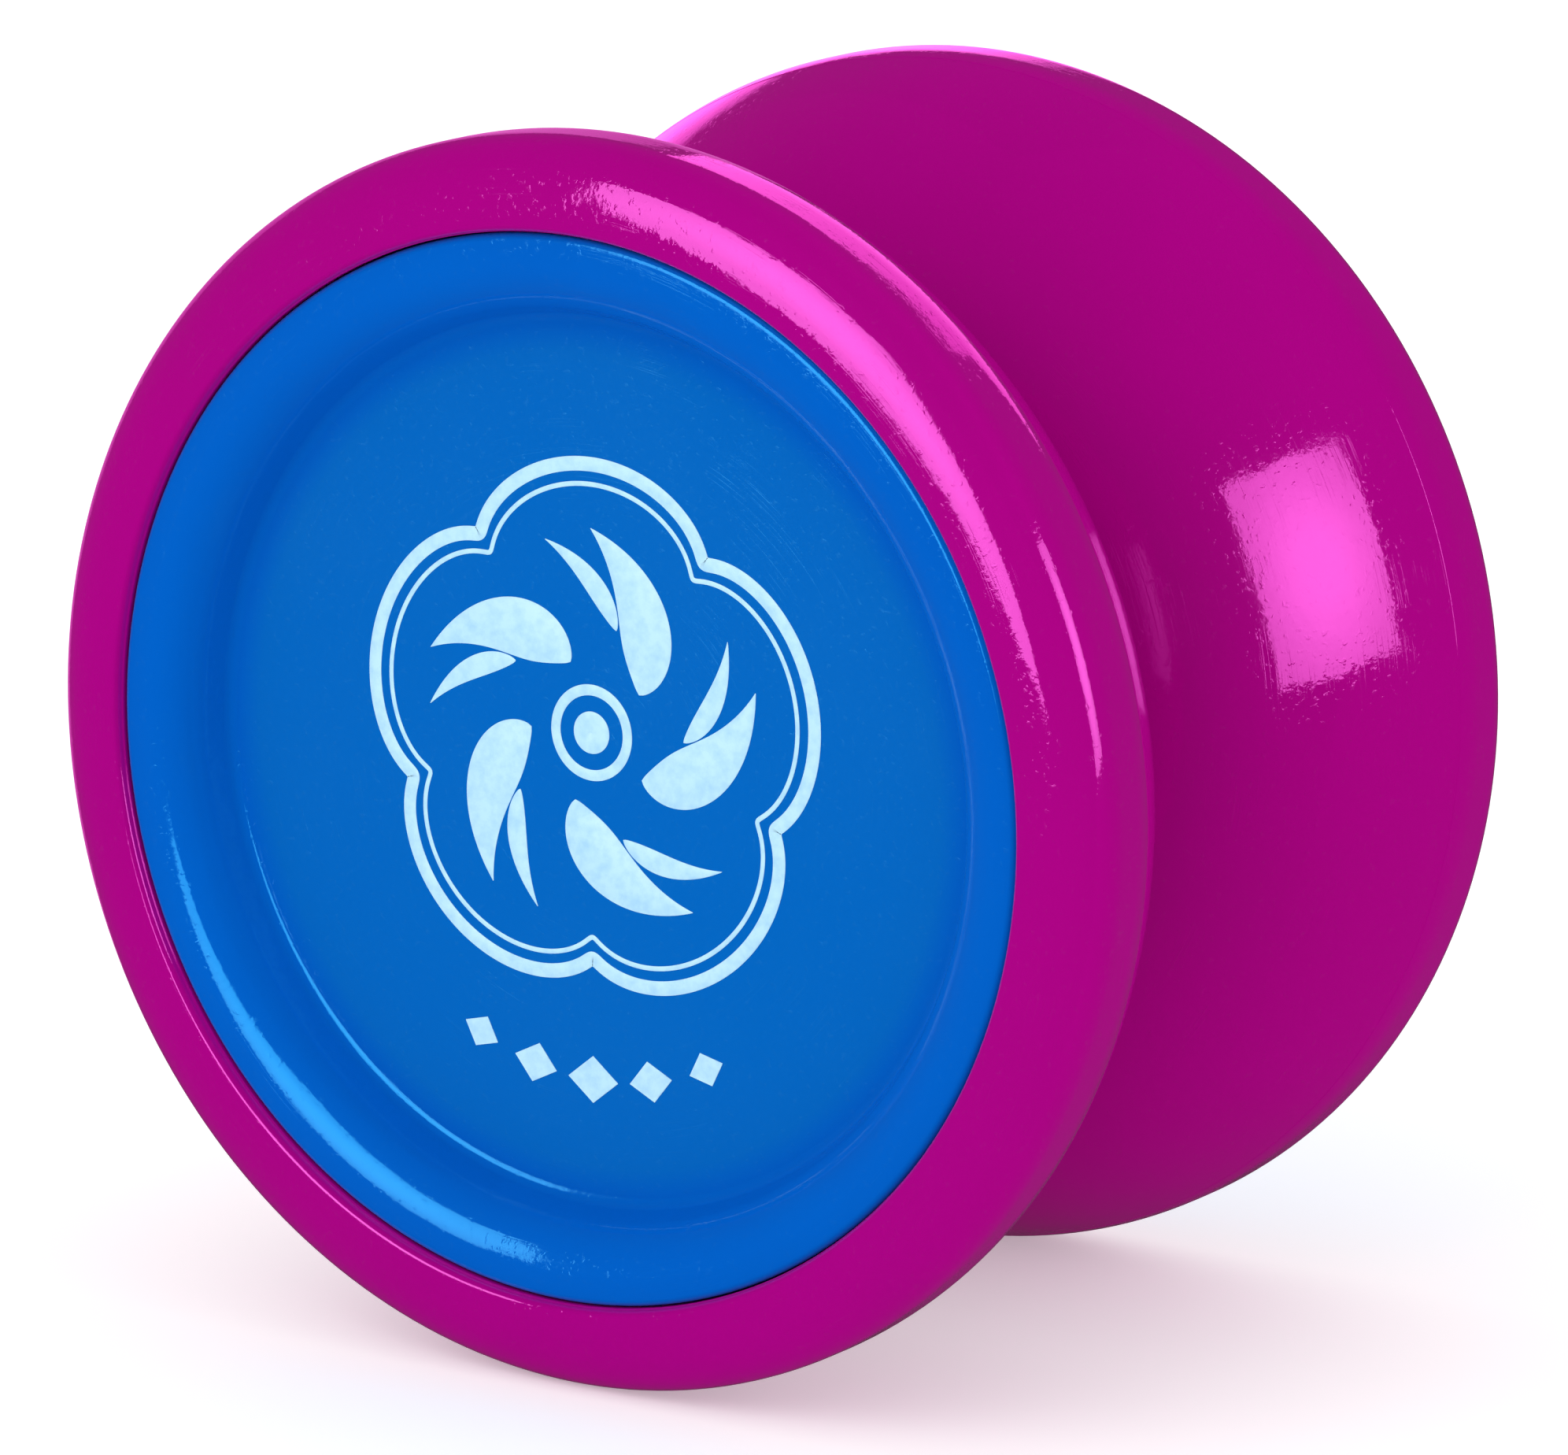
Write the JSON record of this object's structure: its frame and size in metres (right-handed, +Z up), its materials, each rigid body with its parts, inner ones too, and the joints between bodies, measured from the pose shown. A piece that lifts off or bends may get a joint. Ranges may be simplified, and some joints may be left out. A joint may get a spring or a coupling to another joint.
{
  "type": "yo-yo",
  "caption": "Wide-rimmed yo-yo: two flared plastic halves with dished snap-in caps on a threaded axle, with a shielded ball bearing in the string gap.",
  "frame": {"origin": "middle of the axle, half way between the two hub faces", "axes": "+Y along the axle from the front half to the rear half, +Z up as it stands on its two rims, +X to the right seen from the front cap"},
  "size_m": [0.057, 0.0366, 0.057],
  "materials": {
    "shell": "polished moulded plastic, fine handling scratches",
    "cap": "polished moulded plastic with a plain pale print",
    "plated_steel": "zinc-plated",
    "spacer": "turned",
    "pad": "matt friction pad",
    "bearing_steel": "ground",
    "cage": "satin",
    "ball": "polished"
  },
  "bodies": {
    "rear_half": {"rear_shell": "shell", "rear_cap": "cap", "rear_nut": "plated_steel", "rear_spacer": "spacer", "rear_response_pad": "pad", "axle_stud": "plated_steel", "bearing_inner_ring": "bearing_steel"},
    "bearing_outer": {"bearing_outer_ring": "bearing_steel", "front_bearing_shield": "bearing_steel", "rear_bearing_shield": "bearing_steel", "front_shield_clip": "bearing_steel", "rear_shield_clip": "bearing_steel"},
    "bearing_balls": {"bearing_cage": "cage", "ball_1": "ball", "ball_2": "ball", "ball_3": "ball", "ball_4": "ball", "ball_5": "ball", "ball_6": "ball", "ball_7": "ball", "ball_8": "ball"},
    "front_sleeve": {"front_spacer": "spacer"},
    "front_half": {"front_shell": "shell", "front_cap": "cap", "front_nut": "plated_steel", "front_response_pad": "pad"}
  },
  "joints": [
    {"name": "bearing_spin", "type": "hinge", "parent": "rear_half", "child": "bearing_outer", "pos_m": [0, 0, 0], "axis": [0, 1, 0], "continuous": true},
    {"name": "ball_travel", "type": "hinge", "parent": "rear_half", "child": "bearing_balls", "pos_m": [0, 0, 0], "axis": [0, 1, 0], "continuous": true},
    {"name": "sleeve_slide", "type": "slide", "parent": "rear_half", "child": "front_sleeve", "axis": [0, -1, 0], "range_m": [0, 0.0028]},
    {"name": "half_unscrew", "type": "hinge", "parent": "front_sleeve", "child": "front_half", "pos_m": [0, 0, 0], "axis": [0, -1, 0], "range_deg": [0, 1440]}
  ],
  "couplings": [
    {"joint": "ball_travel", "follows": "bearing_spin", "ratio": 0.6106},
    {"joint": "sleeve_slide", "follows": "half_unscrew", "m_per_rad": 0.00011141}
  ]
}
